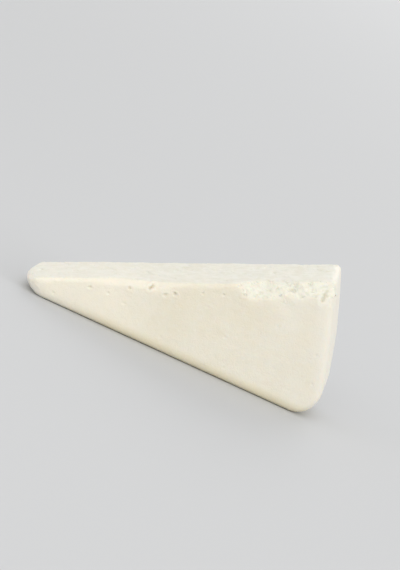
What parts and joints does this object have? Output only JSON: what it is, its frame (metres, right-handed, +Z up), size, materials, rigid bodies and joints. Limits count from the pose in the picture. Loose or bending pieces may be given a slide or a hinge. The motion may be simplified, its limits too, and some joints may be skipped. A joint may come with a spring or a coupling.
{
  "type": "tulum cheese wedge",
  "caption": "Half of a tray-moulded wedge of white tulum cheese, with a flat knife-cut side, drafted moulded walls, a blunt tip and a crumbling edge.",
  "frame": {"origin": "centre of the bounding box in plan, on the flat moulded side that the wedge stands on", "axes": "+Z up out of the moulded side, +X from the blunt tip to the thick back end, +Y from the smooth front face to the rough back face"},
  "size_m": [0.1386, 0.0398, 0.0623],
  "materials": {
    "cheese": "moist, matt ivory-white cheese with a faint sheen, smooth where it was moulded and crumbly where it was cut or broke"
  },
  "bodies": {
    "root": {"tulum_cheese_wedge": "cheese"}
  },
  "joints": []
}
